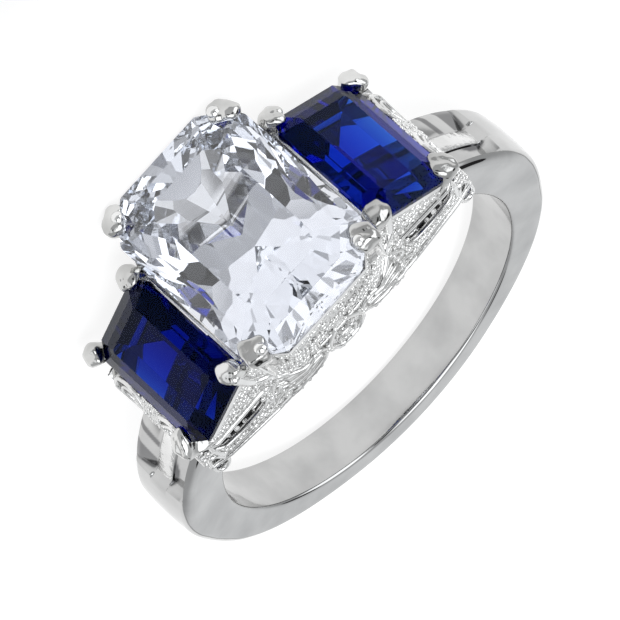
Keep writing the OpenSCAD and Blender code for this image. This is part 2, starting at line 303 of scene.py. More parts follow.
def shank_painted_shade(angle, point):
    """How much painted shade and painted dark reflection the sunk panels of a shoulder get: a slanting
    patch and stripe on the north side, and a wedge along the bar on the south side."""
    size, n = abs(angle), point[1]
    out = math.hypot(point[0], point[2]) > FINGER_R + 1.5
    slanted = size - 3.4 * (n - 0.5)
    patch = eased(115.6, 116.2, size) * (1 - eased(118.9, 119.5, slanted))
    stripe = eased(123.2, 123.7, slanted) * (1 - eased(125.0, 125.6, slanted))
    across = eased(0.46, 0.56, n)
    thick = 0.2 * eased(115.8, 118.5, size) * (1 - eased(120.5, 124.5, size))
    wedge = eased(115.4, 116.2, size) * (1 - eased(122, 126, size))
    wedge = wedge * (1 - eased(0.5 + thick, 0.62 + thick, -n))
    return out * (0.75 * across * max(patch, stripe) + 0.95 * wedge * (n < -0.44))


shank_rings = [shank_ring(a) for a in stations]
shank_points, shank_faces = tube(shank_rings)
shank = metal_piece("shank", shank_points, shank_faces, polished, 30)
shank_bm = bmesh.new()
shank_bm.from_mesh(shank.data)
bmesh.ops.recalc_face_normals(shank_bm, faces=shank_bm.faces[:])
shank_bm.to_mesh(shank.data)
shank_bm.free()
shank.data.set_sharp_from_angle(angle=math.radians(30))
# Painted shade and painted dark reflection in the shoulders' sunk panels, one value per point, which
# darkens the polished metal.
painted_shade_mask = shank.data.attributes.new("painted_shade", "FLOAT", "POINT")
painted_shade_mask.data.foreach_set("value", [float(shank_painted_shade(a, point))
                                for a, ring in zip(stations, shank_rings) for point in ring])
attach(shank, "root")
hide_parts("ring_mount")

# Shoulder bars. A raised bar of cast metal with a stippled face runs up the middle of each shoulder,
# from a blunt lower end into the basket of the side stone. It is one casting with the shank.


def bar_ring(a, half, low, high):
    """One section of a bar, across its top from side to side."""
    rise = [(low, -half), (high - 0.06, -half), (high, -half + 0.08), (high + 0.02, 0),
            (high, half - 0.08), (high - 0.06, half), (low, half)]
    q = math.radians(a)
    return [(r * math.sin(q), n, -r * math.cos(q)) for r, n in rise]


def capped(rings):
    """Faces over a stack of rings, with both ends closed."""
    m, k = len(rings[0]), len(rings)
    faces = [[i * m + j, i * m + (j + 1) % m, (i + 1) * m + (j + 1) % m, (i + 1) * m + j]
             for i in range(k - 1) for j in range(m)]
    faces += [list(range(m))[::-1], [(k - 1) * m + j for j in range(m)]]
    return np.array([p for ring in rings for p in ring], float), faces


def joined(parts):
    """Several shells as one list of points and one of faces, each shell turned face outwards."""
    points, faces, count = [], [], 0
    for p, f in parts:
        p = np.asarray(p, float)
        middle = p.mean(0)
        volume = 0.0
        for face in f:
            a = p[face[0]] - middle
            for k in range(1, len(face) - 1):
                volume += np.dot(a, np.cross(p[face[k]] - middle, p[face[k + 1]] - middle))
        turn = -1 if volume < 0 else 1
        points.append(p)
        faces += [[i + count for i in face[::turn]] for face in f]
        count += len(p)
    return np.vstack(points), faces


bar_parts = []
for side in (-1, 1):
    rows = []
    for a in np.arange(114.4, 133.3, 0.3):
        half = 0.3 * eased(113.8, 115.8, a) + 0.16
        rows.append(bar_ring(side * a, half, 10.0, 10.6 - 0.06 * eased(114.5, 117, a)))
    bar_parts.append(capped(rows))
stippled = white_metal("stippled platinum", 0.1, 0.22, 3600, 1.0, (0.6, 0.6, 0.595, 1),
                       (0.82, 0.82, 0.815, 1))
bar_points, bar_faces = joined(bar_parts)
bars = metal_piece("shoulder_bars", bar_points, bar_faces, stippled, 40)
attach(bars, "root")

# Center stone. A clear, nearly colourless stone with cut corners: a table, two steps of crown
# facets, a thin girdle, and a pavilion whose steps are broken into triangles.


def clear_gem(name, colour, density, tint, shine):
    """A polished stone. Its body colour comes from absorption, so thick parts are deeper."""
    made = bpy.data.materials.new(name)
    made.use_nodes = True
    tree = made.node_tree
    where = node(tree, "ShaderNodeTexCoord", {}).outputs["Object"]
    polish = node(tree, "ShaderNodeTexNoise", {"Vector": where, "Scale": 500})
    gloss = node(tree, "ShaderNodeMapRange", {"Value": polish, "To Min": 0, "To Max": 0.012})
    wired(tree, tree.nodes["Principled BSDF"],
          {"Base Color": tint, "Specular Tint": shine, "Transmission Weight": 1, "IOR": 1.77,
           "Roughness": gloss})
    body = node(tree, "ShaderNodeVolumeAbsorption", {"Color": colour, "Density": density})
    wired(tree, tree.nodes["Material Output"], {"Volume": body})
    return made


def facet(azimuth, angle, inset, height, width, length, cut, below=False):
    """A plane that leans in at an angle from the girdle's plane, through a line at an inset from
    the outline and at a height."""
    u = Vector((math.cos(math.radians(azimuth)), math.sin(math.radians(azimuth)), 0))
    outline = [(width / 2, length / 2 - cut), (width / 2 - cut, length / 2)]
    reach = max(abs(u.x) * x + abs(u.y) * y for x, y in outline)
    lean = math.radians(angle)
    normal = u * math.sin(lean) + Vector((0, 0, -1 if below else 1)) * math.cos(lean)
    return u * (reach - inset) + Vector((0, 0, height)), normal


def cut_stone(name, planes, put, material):
    """A block cut by planes in the stone's own frame, then put in its place."""
    bm = bmesh.new()
    bmesh.ops.create_cube(bm, size=40)
    for at, normal in planes:
        everything = bm.verts[:] + bm.edges[:] + bm.faces[:]
        cut = bmesh.ops.bisect_plane(
            bm, geom=everything, dist=1e-5, plane_co=at, plane_no=normal, clear_outer=True)
        edges = [g for g in cut["geom_cut"] if isinstance(g, bmesh.types.BMEdge)]
        if edges:
            bmesh.ops.edgeloop_fill(bm, edges=edges)
    bmesh.ops.remove_doubles(bm, verts=bm.verts[:], dist=1e-4)
    bmesh.ops.recalc_face_normals(bm, faces=bm.faces[:])
    mesh = bpy.data.meshes.new(name)
    bm.to_mesh(mesh)
    bm.free()
    flat = np.zeros(len(mesh.vertices) * 3)
    mesh.vertices.foreach_get("co", flat)
    moved = at_rest(put(flat.reshape(-1, 3)))
    mesh.vertices.foreach_set("co", moved.ravel())
    mesh.update()
    mesh.materials.append(material)
    stone = bpy.data.objects.new(name, mesh)
    bpy.context.scene.collection.objects.link(stone)
    return stone


CENTER = dict(width=7.2, length=9.7, cut=1.4)
CENTER_HEIGHT = 15.4
GIRDLE = 0.16
TABLE_HEIGHT = 1.0
planes = [(Vector((0, 0, TABLE_HEIGHT)), Vector((0, 0, 1)))]
for azimuth in range(0, 360, 45):
    planes.append(facet(azimuth, 90, 0, 0, **CENTER))
    corner = azimuth % 90 == 45
    planes.append(facet(azimuth, 34, 0, 0, **CENTER))
    planes.append(facet(azimuth, 25 if corner else 27, 0.8, 0.54, **CENTER))
    if azimuth % 180 == 90:
        planes.append(facet(azimuth, 52, 0, -GIRDLE, below=True, **CENTER))
    else:
        planes.append(facet(azimuth, 60, 0, -GIRDLE, below=True, **CENTER))
        planes.append(facet(azimuth, 53, 0.5, -GIRDLE - 1.0, below=True, **CENTER))


def on_center(p):
    """From the center stone's own frame to the ring's."""
    return p + (0, 0, CENTER_HEIGHT)


def tangent(azimuth, angle, power, half_x, half_y, deep, depth_power):
    """A plane of the pavilion that touches a rounded, box-like cone of this half width, half length
    and depth. power rounds its plan, and depth_power its section."""
    lean = math.radians(angle)
    spin = math.radians(azimuth)
    n = Vector((math.cos(spin) * math.sin(lean), math.sin(spin) * math.sin(lean), -math.cos(lean)))
    flat = (abs(half_x * n.x) ** power + abs(half_y * n.y) ** power) ** (1 / power)
    reach = (flat ** depth_power + abs(deep * n.z) ** depth_power) ** (1 / depth_power)
    return n * reach + Vector((0, 0, -GIRDLE)), n


CONE = dict(half_x=3.62, half_y=4.87, deep=3.55, depth_power=2.9)
for angle, power, spins in (
        (54, 1.6, (0, 9, 20, 32, 45, 58, 70, 81, 90)),
        (48, 1.7, (5, 15, 26, 38, 52, 62, 70, 78, 86)),
        (45.5, 1.85, (0, 9, 20, 32, 45, 56, 66, 74, 82, 90)),
        (43, 2, (5, 15, 26, 38, 52, 62, 70, 78, 86)),
        (40, 2, (15, 38, 64, 85))):
    for azimuth in spins:
        for spin in {azimuth, 180 - azimuth, 180 + azimuth, (360 - azimuth) % 360}:
            planes.append(tangent(spin, angle, power, **CONE))
colourless = clear_gem("clear stone", (0.84, 0.9, 1, 1), 40, (0.84, 0.845, 0.88, 1), (1, 1, 1, 1))
center = cut_stone("center_gem", planes, on_center, colourless)
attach(center, "root")
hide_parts("center_stone")

# Side stones. Two deep blue stones in a rectangular step cut, set at a slope on both sides of the
# center stone. Their crown steps run with their edges, and the pavilion's steps are broken into a
# few slanting facets.
SIDE = dict(width=4.25, length=6.4, cut=0.65)
SIDE_TABLE_HEIGHT = 0.47
side_planes = [(Vector((0, 0, SIDE_TABLE_HEIGHT)), Vector((0, 0, 1)))]
for azimuth in range(0, 360, 45):
    for angle, inset, height in ((90, 0, 0), (30, 0, 0), (21, 0.52, 0.3)):
        side_planes.append(facet(azimuth, angle, inset, height, **SIDE))
    for angle, inset, depth in ((58, 0, 0), (49, 0.42, 0.67), (40, 1.0, 1.34)):
        side_planes.append(facet(azimuth, angle, inset, -GIRDLE - depth, below=True, **SIDE))
for azimuth, angle, inset, depth in ((22, 44, 0.75, 1.05), (68, 44, 0.8, 1.1), (12, 50, 0.45, 0.72),
                                     (33, 52, 0.5, 0.75), (57, 52, 0.5, 0.75), (78, 50, 0.45, 0.72)):
    for spin in (azimuth, 180 - azimuth, 180 + azimuth, -azimuth):
        side_planes.append(facet(spin, angle, inset, -GIRDLE - depth, below=True, **SIDE))
royal = clear_gem("royal blue stone", (0.005, 0.36, 0.85, 1), 1900, (0.5, 0.8, 1, 1),
                  (0.03, 0.07, 0.22, 1))
navy = clear_gem("navy blue stone", (0.005, 0.3, 0.8, 1), 2700, (0.5, 0.8, 1, 1),
                 (0.02, 0.05, 0.18, 1))
TILT = math.radians(35)
# A side stone's girdle beside the center stone and at the shoulder: place across and height.
INNER_EDGE = (3.95, 13.4)
OUTER_EDGE = (3.95 + 4.25 * math.cos(TILT), 13.4 - 4.25 * math.sin(TILT))


def on_side(s):
    """From a side stone's own frame to the ring's: the right stone for s = 1, the left for -1."""
    lean = np.array([[math.cos(TILT), 0, s * math.sin(TILT)], [0, 1, 0],
                     [-s * math.sin(TILT), 0, math.cos(TILT)]])
    middle = (s * ((INNER_EDGE[0] + OUTER_EDGE[0]) / 2), 0, (INNER_EDGE[1] + OUTER_EDGE[1]) / 2)
    return lambda p: p @ lean.T + middle


for name, s, colour in (("right", 1, royal), ("left", -1, navy)):
    stone = cut_stone(name + "_gem", side_planes, on_side(s), colour)
    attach(stone, "root")
    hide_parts(name + "_stone")

# Gallery. Two pierced walls of cast metal carry the stones, one along each side of the head. Each
# has a beaded frieze under the center stone, scrolls and leaves below it, and an open basket with
# a swept strut under each side stone. They are soldered to the shank and to the claws.
cast = white_metal("cast platinum", 0.07, 0.16, 5200, 0.3, (0.66, 0.66, 0.655, 1),
                   (0.84, 0.84, 0.835, 1))
# Half the length of a wall, the circle round the finger that its foot follows, and how far the
# head's metal may reach below the ring's middle where it lies.
WALL_X = 7.851
FOOT_R = 8.2
METAL_DEPTH = 2.598
# The upper edge of the south wall: place across the ring, along the finger, and height.
EDGE = np.array([[0, 4.65, 15.1], [2.2, 4.65, 15.1], [3.4, 3.45, 15.1], [3.95, 3.0, 13.2],
                 [6.781, 3.0, 11.217], [7.431, 2.55, 10.762], [WALL_X, 2.55, 10.562]])


def wall(x, share, out):
    """Points of the south wall: place across the ring, share of the way down, and how far out."""
    x, share, out = np.broadcast_arrays(*(np.asarray(v, float) for v in (x, share, out)))
    a = np.minimum(np.abs(x), WALL_X)
    top_n = np.interp(a, EDGE[:, 0], EDGE[:, 1])
    top_h = np.interp(a, EDGE[:, 0], EDGE[:, 2])
    foot_n = 3.55 - 1.35 * (a / WALL_X) ** 1.6
    foot_h = np.maximum(np.sqrt(np.maximum(0, FOOT_R ** 2 - a * a)), 6.6 + 0.18 * (WALL_X - a))
    n = top_n + (foot_n - top_n) * share + out
    return np.stack([x, -n, top_h + (foot_h - top_h) * share], -1)


def curve_through(points):
    """A smooth line through a few points, in the plane that they are given in."""
    p = np.asarray(points, float)
    closed = np.allclose(p[0], p[-1])
    before = p[-2] if closed else 2 * p[0] - p[1]
    after = p[1] if closed else 2 * p[-1] - p[-2]
    q = np.vstack([before, p, after])
    line = []
    for i in range(1, len(q) - 2):
        size = np.abs(q[i + 1] - q[i])
        count = max(3, int(math.ceil((size[0] + 7 * size[1]) / 0.1)))
        t = np.arange(count)[:, None] / count
        m0, m1 = (q[i + 1] - q[i - 1]) / 2, (q[i + 2] - q[i]) / 2
        line.append((2 * t ** 3 - 3 * t ** 2 + 1) * q[i] + (t ** 3 - 2 * t ** 2 + t) * m0
                    + (3 * t ** 2 - 2 * t ** 3) * q[i + 1] + (t ** 3 - t ** 2) * m1)
    if not closed:
        line.append(q[-2][None])
    return np.vstack(line), closed


def wire(surface, points, wide, high, out=0.0, taper=(1, 1), sides=10):
    """A half-round or round wire laid on a surface along a smooth line, with rounded ends. wide and
    high are half its width and half its height."""
    line, closed = curve_through(points)
    u, v = line[:, 0], line[:, 1]
    path = surface(u, v, out)
    du = surface(u + 1e-3, v, out) - surface(u - 1e-3, v, out)
    dv = surface(u, v + 1e-3, out) - surface(u, v - 1e-3, out)
    up = np.cross(du, dv)
    up /= np.linalg.norm(up, axis=1)[:, None]
    lift = surface(u, v, out + 0.1) - path
    up *= np.sign((up * lift).sum(1))[:, None]
    if closed:
        along = np.roll(path, -1, 0) - np.roll(path, 1, 0)
    else:
        along = np.gradient(path, axis=0)
    along /= np.linalg.norm(along, axis=1)[:, None]
    across = np.cross(up, along)
    across /= np.linalg.norm(across, axis=1)[:, None]
    turn = np.linspace(0, 2 * math.pi, sides, endpoint=False)
    size = np.interp(np.linspace(0, 1, len(path)), np.linspace(0, 1, len(taper)), taper)
    rings = list(zip(path, across, up, size))
    if not closed:
        start, end = [[(path[k] + along[k] * wide * size[k] * math.sin(math.radians(q)),
                        across[k], up[k], size[k] * math.cos(math.radians(q))) for q in turns]
                      for k, turns in ((0, (-78, -50, -25)), (-1, (25, 50, 78)))]
        rings = start + rings + end
    stack = [at + k * (np.outer(np.cos(turn) * wide, a) + np.outer(np.sin(turn) * high, b))
             for at, a, b, k in rings]
    return tube(stack) if closed else capped(stack)


def ball(centre, radius, rings=7, sides=12):
    """A closed ball."""
    rows = []
    for i in range(rings):
        q = math.pi * (i + 0.5) / rings - math.pi / 2
        t = np.linspace(0, 2 * math.pi, sides, endpoint=False)
        rows.append(np.stack([centre[0] + radius * math.cos(q) * np.cos(t),
                              centre[1] + radius * math.cos(q) * np.sin(t),
                              centre[2] + radius * math.sin(q) + 0 * t], -1))
    return capped(rows)


def pierced_sheet(surface, us, vs, solid, relief, back):
    """A sheet on a surface, cut through where solid is negative. Its face stands out by relief, and
    its back lies in by back."""
    u, v = np.meshgrid(us, vs, indexing="ij")
    f = solid(u, v)
    nu, nv = f.shape
    flat_u, flat_v, g = u.ravel(), v.ravel(), f.ravel()
    index = np.arange(nu * nv).reshape(nu, nv)

    def crossings(a, b):
        t = np.clip(g[a] / (g[a] - g[b] + 1e-12), 0.02, 0.98)
        return flat_u[a] + (flat_u[b] - flat_u[a]) * t, flat_v[a] + (flat_v[b] - flat_v[a]) * t

    ha, hb = index[:-1, :].ravel(), index[1:, :].ravel()
    va, vb = index[:, :-1].ravel(), index[:, 1:].ravel()
    hu, hv = crossings(ha, hb)
    wu, wv = crossings(va, vb)
    all_u = np.concatenate([flat_u, hu, wu])
    all_v = np.concatenate([flat_v, hv, wv])
    h_id = nu * nv + np.arange(len(ha)).reshape(nu - 1, nv)
    v_id = nu * nv + len(ha) + np.arange(len(va)).reshape(nu, nv - 1)
    inside = f > 0
    polygons, rims = [], []
    code = (inside[:-1, :-1] * 1 + inside[1:, :-1] * 2 + inside[1:, 1:] * 4 + inside[:-1, 1:] * 8)
    for kind in range(1, 16):
        i, j = np.nonzero(code == kind)
        if not len(i):
            continue
        ring = [index[i, j], h_id[i, j], index[i + 1, j], v_id[i + 1, j],
                index[i + 1, j + 1], h_id[i, j + 1], index[i, j + 1], v_id[i, j]]
        metal = [bool(kind >> k & 1) for k in range(4)]
        use = [k for k in range(8) if metal[k // 2] != (k % 2 and metal[(k // 2 + 1) % 4])]
        polygons += np.stack([ring[k] for k in use], 1).tolist()
        for a, b in zip(use, use[1:] + use[:1]):
            if a % 2 and (b - a) % 8 == 2 and not metal[(a + 1) % 8 // 2]:
                rims += np.stack([ring[a], ring[b]], 1).tolist()
    for line in (index[:, 0], index[:, -1][::-1], index[0, ::-1], index[-1, :]):
        for a, b in zip(line[:-1], line[1:]):
            if g[a] > 0 and g[b] > 0:
                rims.append([int(a), int(b)])
            elif g[a] > 0 or g[b] > 0:
                low = min(a, b)
                cross = int((v_id if abs(a - b) == 1 else h_id)[low // nv, low % nv])
                rims.append([int(a), cross] if g[a] > 0 else [cross, int(b)])
    count = len(all_u)
    front = surface(all_u, all_v, relief(all_u, all_v))
    rear = surface(all_u, all_v, -back(all_u, all_v))
    faces = polygons + [[k + count for k in p[::-1]] for p in polygons]
    runs = {(a, b) for p in polygons for a, b in zip(p, p[1:] + p[:1])}
    for a, b in rims:
        if (a, b) in runs:
            faces.append([b, a, a + count, b + count])
        else:
            faces.append([a, b, b + count, a + count])
    points = np.vstack([front, rear])
    used = np.unique(np.concatenate([np.array(p) for p in faces]))
    renumber = np.zeros(len(points), int)
    renumber[used] = np.arange(len(used))
    return points[used], [[int(renumber[k]) for k in p] for p in faces]


def oval(u, v, u0, v0, half_u, half_v):
    """Positive inside an oval, about in millimetres."""
    return (1 - np.sqrt(((u - u0) / half_u) ** 2 + ((v - v0) / half_v) ** 2)) * half_u


# Edges of the wall's parts: place across the ring, and share of the way down the wall. The leaf's
# foot, the drop's half width down the middle, the lower edge of the basket's upper band, the wall's
# top edge, and the sill of the basket's window.
LEAF_FOOT = np.array([[0.95, 0.62], [1.1, 0.7], [1.35, 0.775], [1.8, 0.815], [2.4, 0.845], [2.9, 0.895],
                      [3.35, 0.885], [4.0, 0.875], [7.0, 0.88], [WALL_X, 0.9]])
DROP = np.array([[0.42, 0.3], [0.52, 0.52], [0.6, 0.78], [0.7, 0.92], [0.76, 0.86], [0.82, 0.72],
                 [0.86, 0.48], [0.88, 0.05]])
BAND_FOOT = np.array([[4.0, 0.45], [5.0, 0.41], [6.0, 0.34], [6.8, 0.26], [7.3, 0.33], [WALL_X, 0.5]])
WALL_TOP = np.array([[0, 0.04], [2.2, 0.04], [3.4, 0.055], [3.95, 0.08], [7.0, 0.115],
                     [WALL_X, 0.115]])
RAIL_TOP = np.array([[4.0, 0.56], [4.3, 0.64], [5.0, 0.665], [6.0, 0.655], [6.7, 0.6], [7.1, 0.45]])
# Small openings: place across the ring, share of the way down, and their half sizes in the same.
HOLES = ((0.22, 0.085, 0.05, 0.012), (0.86, 0.3, 0.06, 0.016), (1.52, 0.055, 0.05, 0.012),
         (2.12, 0.345, 0.06, 0.016), (2.62, 0.1, 0.05, 0.014), (1.98, 0.07, 0.05, 0.011),
         (0.62, 0.33, 0.06, 0.014), (1.15, 0.11, 0.05, 0.012), (0.5, 0.435, 0.18, 0.045),
         (0.94, 0.435, 0.17, 0.045), (1.83, 0.5, 0.3, 0.022),
         (0.5, 0.17, 0.1, 0.022), (1.75, 0.16, 0.1, 0.024), (2.45, 0.27, 0.08, 0.02),
         (0.0, 0.575, 0.13, 0.036), (1.0, 0.56, 0.11, 0.03), (2.1, 0.655, 0.1, 0.013),
         (2.75, 0.69, 0.12, 0.014), (1.22, 0.28, 0.08, 0.02), (5.45, 0.71, 0.1, 0.024),
         (5.9, 0.705, 0.13, 0.028), (6.35, 0.69, 0.1, 0.026), (4.9, 0.72, 0.08, 0.018),
         (5.0, 0.14, 0.08, 0.016), (5.9, 0.12, 0.08, 0.016), (3.62, 0.62, 0.08, 0.02),
         (7.4, 0.88, 0.22, 0.16), (7.3, 0.17, 0.12, 0.03))


def basket_window(x, share):
    """Positive inside the long window of a basket, about in millimetres."""
    a = np.abs(x)
    top = np.interp(a, BAND_FOOT[:, 0], BAND_FOOT[:, 1])
    sill = np.interp(a, RAIL_TOP[:, 0], RAIL_TOP[:, 1])
    down = 7.0 - 0.32 * np.maximum(0, a - 3.4)
    return np.minimum(np.minimum(share - top, sill - share) * down, a - 4.25)


def wall_back(x, share):
    """How thick a gallery wall's sheet is. It is filed thin round the window of the basket, and its
    top edge is bevelled so that it stays clear of the stones."""
    a = np.abs(x)
    beside = eased(3.4, 3.95, a)
    clear = mixed(4.45 * share - 0.12, 2.6 * share - 0.23, beside)
    return np.clip(np.minimum(clear, 0.38 - 0.28 * eased(-0.5, -0.1, basket_window(x, share))),
                   0.03, 0.38)


def wall_solid(x, share):
    """Where a gallery wall's sheet has metal: everywhere but in its openings and below its foot."""
    a = np.abs(x)
    down = 7.0 - 0.32 * np.maximum(0, a - 3.4)
    foot = np.interp(a, LEAF_FOOT[:, 0], LEAF_FOOT[:, 1])
    below = share - np.interp(a, WALL_TOP[:, 0], WALL_TOP[:, 1])
    body = np.minimum(np.minimum(below, foot - share) * down, a - 0.95)
    top = np.minimum(np.minimum(below, 0.5 - share) * down, 1.3 - a)
    drop = np.interp(share, DROP[:, 0], DROP[:, 1]) - a
    drop = np.minimum(drop, np.minimum(share - 0.4, 0.88 - share) * down)
    body = np.minimum(body, -basket_window(x, share))
    metal = np.maximum.reduce([body, top, drop])
    for u0, v0, hu, hv in HOLES:
        metal = np.minimum(metal, -oval(a, share, u0, v0, hu, hv))
    return metal


def wall_relief(x, share):
    """How far a gallery wall's sheet stands out: a stippled ground, with ribs on the leaves."""
    a = np.abs(x)
    h = share * 7
    grain = (np.cos(29 * a + 3.1 * np.sin(9 * h)) * np.cos(27 * h + 2.3 * np.sin(11 * a))
             + 0.6 * np.cos(17 * a - 13 * h + 1.7) * np.cos(19 * h + 7 * a))
    fan = np.arctan2(h - 3.98, a - 1.2)
    ribs = np.cos(15 * fan + 1.2 * a) * np.clip((a - 1.2) / 0.5, 0, 1) * (a < 3.3)
    leaf = (share > 0.52) * (a > 1.0)
    return 0.03 * grain * (1 - 0.7 * leaf * (a < 3.4)) + 0.05 * ribs * leaf


south_sheet = pierced_sheet(wall, np.linspace(-7.8, 7.8, 341), np.linspace(0.02, 0.905, 130),
                            wall_solid, wall_relief, wall_back)


def loop(u, v, half_u, half_v, start=0, sweep=360, count=9):
    """Points of an oval, or of a part of one."""
    return [(u + half_u * math.cos(math.radians(q)), v + half_v * math.sin(math.radians(q)))
            for q in np.linspace(start, start + sweep, count)]


wires = []
bead_lines = []
for s in (-1, 1):
    def on(points, wide, high, out, taper=(1, 1), sides=10):
        wires.append(wire(wall, [(s * u, v) for u, v in points], wide, high, out, taper, sides))

    # Upper leaf strand, four ribs and the leaf's edge.
    on([(3.15, 0.49), (2.6, 0.55), (2.0, 0.56), (1.6, 0.535), (1.28, 0.565), (1.1, 0.63)],
       0.11, 0.15, 0.07, (1.2, 1, 0.8, 0.7))
    on([(3.75, 0.58), (3.1, 0.62), (2.4, 0.6), (1.85, 0.58), (1.45, 0.6)], 0.06, 0.11, 0.06)
    on([(3.7, 0.67), (3.05, 0.7), (2.4, 0.67), (1.85, 0.63), (1.4, 0.63)], 0.07, 0.13, 0.06)
    on([(3.5, 0.77), (2.9, 0.785), (2.35, 0.75), (1.85, 0.7), (1.42, 0.665)], 0.07, 0.13, 0.06)
    on([(4.05, 0.85), (3.4, 0.868), (2.9, 0.87), (2.4, 0.825), (1.8, 0.795), (1.36, 0.75),
        (1.12, 0.68)], 0.09, 0.14, 0.07)
    on([(3.3, 0.55), (3.62, 0.57), (3.82, 0.62), (3.62, 0.665), (3.42, 0.64), (3.52, 0.61)],
       0.07, 0.12, 0.08, (1, 1, 0.6))
    on([(3.45, 0.73), (3.8, 0.735), (4.0, 0.77), (3.85, 0.805), (3.65, 0.79)], 0.07, 0.12, 0.07,
       (1, 1, 0.6))
    # Drop under the middle of the frieze, with its eye.
    on([(0.3, 0.46), (0.55, 0.525), (0.8, 0.61), (0.9, 0.7), (0.76, 0.79), (0.45, 0.845),
        (0, 0.862)], 0.1, 0.14, 0.07)
    on(loop(0, 0.575, 0.24, 0.05), 0.07, 0.1, 0.06)
    on([(0, 0.67), (0.32, 0.68), (0.46, 0.73), (0.3, 0.79), (0, 0.805)], 0.07, 0.11, 0.06)
    on([(0.62, 0.57), (0.6, 0.63), (0.42, 0.65), (0.4, 0.61)], 0.05, 0.09, 0.06)
    # Bars between the slots, and the frieze's scrolls.
    for u in (0.26, 0.72, 1.16):
        on([(u, 0.365), (u + 0.02, 0.43), (u + 0.02, 0.5)], 0.055, 0.09, 0.03)
    on([(0, 0.505), (0.6, 0.5), (1.2, 0.49), (1.5, 0.47)], 0.07, 0.1, 0.04)
    for k, (u, v) in enumerate(((0.16, 0.11), (0.52, 0.24), (0.9, 0.13), (1.3, 0.22), (1.66, 0.1),
                                (1.98, 0.27), (2.32, 0.15), (2.7, 0.24), (2.62, 0.36), (4.9, 0.22),
                                (5.6, 0.16), (6.2, 0.21))):
        on(loop(u, v, 0.13 + 0.03 * (k % 3), 0.028 + 0.004 * (k % 4), 71 * k, 230 + 40 * (k % 3), 7),
           0.05, 0.09, 0.02)
    # Basket: strut, ring behind the window, a fine line along its sill, and double lower rail.
    on([(3.9, 0.46), (4.4, 0.435), (5.2, 0.4), (6.0, 0.355), (6.8, 0.3), (7.4, 0.22)],
       0.16, 0.19, 0.05, (0.8, 1, 1, 0.8), 12)
    on(loop(4.66, 0.595, 0.26, 0.045), 0.06, 0.09, -0.22)
    on([(4.15, 0.6), (4.5, 0.655), (5.2, 0.665), (6.0, 0.655), (6.7, 0.6), (7.05, 0.5)],
       0.06, 0.09, 0.04)
    on([(4.0, 0.8), (5.0, 0.805), (6.0, 0.805), (7.2, 0.81)], 0.05, 0.08, 0.03)
    on([(3.95, 0.865), (4.8, 0.86), (6.0, 0.86), (7.0, 0.87), (7.75, 0.86)], 0.13, 0.16, 0.06,
       (0.9, 1, 1), 12)
    on([(7.02, 0.16), (7.12, 0.3), (7.18, 0.46), (7.1, 0.62), (7.0, 0.76)], 0.11, 0.15, 0.05)
    on([(6.75, 0.17), (6.95, 0.13), (7.25, 0.16), (7.3, 0.24), (7.05, 0.28), (6.9, 0.22)],
       0.075, 0.12, 0.05)
    # Looped foot beside the shoulder.
    on([(7.12, 0.8), (7.3, 0.66), (7.54, 0.64), (7.7, 0.78), (7.74, 0.98), (7.66, 1.1),
        (7.36, 1.12), (7.1, 1.05), (7.02, 0.92), (7.12, 0.8)], 0.1, 0.2, -0.02)
    # Legs of the claws, which sweep together at the side of the leaf.
    on([(2.8, -0.1), (2.93, 0.05), (3.02, 0.25), (3.1, 0.42), (3.2, 0.53)], 0.25, 0.24, 0.0,
       (1.2, 1, 0.85, 0.5), 14)
    on([(4.4, -0.06), (4.22, 0.1), (3.88, 0.28), (3.48, 0.42), (3.22, 0.51)], 0.22, 0.22, 0.03,
       (1.2, 1, 0.85, 0.5), 14)
    on([(3.42, 0.06), (3.4, 0.2), (3.33, 0.33), (3.22, 0.44)], 0.07, 0.1, 0.06)
    for u, v, out_by, r in ((3.88, 0.475, 0.08, 0.18), (1.05, 0.645, 0.05, 0.13),
                            (7.4, 0.44, 0.08, 0.17), (4.28, 0.55, 0.05, 0.14),
                            (6.8, 0.7, 0.04, 0.12), (3.3, 0.83, 0.05, 0.11),
                            (1.35, 0.45, 0.03, 0.1), (2.35, 0.46, 0.03, 0.1)):
        wires.append(ball(wall(s * u, v, out_by), r))
    # Rows of beads: share of the way down, from where to where, and how they slope.
    for k, (v, u0, u1, fall) in enumerate((
            (0.05, 0.02, 2.75, 0), (0.083, 0.1, 2.75, 0), (0.12, 0.02, 2.8, 0), (0.31, 0.1, 2.85, 0),
            (0.355, 0.02, 2.95, 0), (0.41, 1.3, 3.0, 0), (0.455, 1.35, 3.0, 0), (0.125, 3.35, 3.9, 0),
            (0.21, 3.35, 3.75, 0), (0.1, 4.3, 6.8, -0.011), (0.135, 4.4, 6.8, -0.004),
            (0.17, 4.4, 6.85, 0), (0.215, 4.3, 6.9, 0.014), (0.265, 4.25, 6.9, 0.026),
            (0.325, 4.1, 6.8, 0.032), (0.765, 4.25, 6.9, 0.0), (0.715, 4.4, 5.2, 0))):
        u = np.linspace(u0, u1, 50)
        v = v + 0.008 * np.sin(5.3 * u + 2 * k) * (v > 0) - fall * (u - u0)
        bead_lines.append(wall(s * u, v, 0.05))
    for line in ([(6.5, 0.66), (6.9, 0.64)],
                 [(3.35, 0.9), (2.9, 0.915), (2.4, 0.865), (1.8, 0.835), (1.34, 0.79),
                  (1.1, 0.72)],
                 [(0.05, 0.895), (0.45, 0.875), (0.8, 0.81), (0.98, 0.71), (0.9, 0.61)],
                 [(3.4, 0.5), (3.7, 0.53), (4.0, 0.53)], [(3.95, 0.58), (4.05, 0.68), (3.9, 0.72)],
                 [(2.9, 0.84), (3.3, 0.8), (3.5, 0.83)], [(0.1, 0.62), (0.2, 0.645), (0.1, 0.72)],
                 [(0.0, 0.74), (0.15, 0.745), (0.1, 0.77)]):
        spots, _ = curve_through([(s * u, v) for u, v in line])
        bead_lines.append(wall(spots[:, 0], spots[:, 1], 0.05))


def mirrored(parts, room=0.0):
    """The same shells on the other side of the ring, where none may reach below its resting plane."""
    return [(kept_above(np.asarray(p) * (1, -1, 1), METAL_DEPTH, room), f) for p, f in parts]


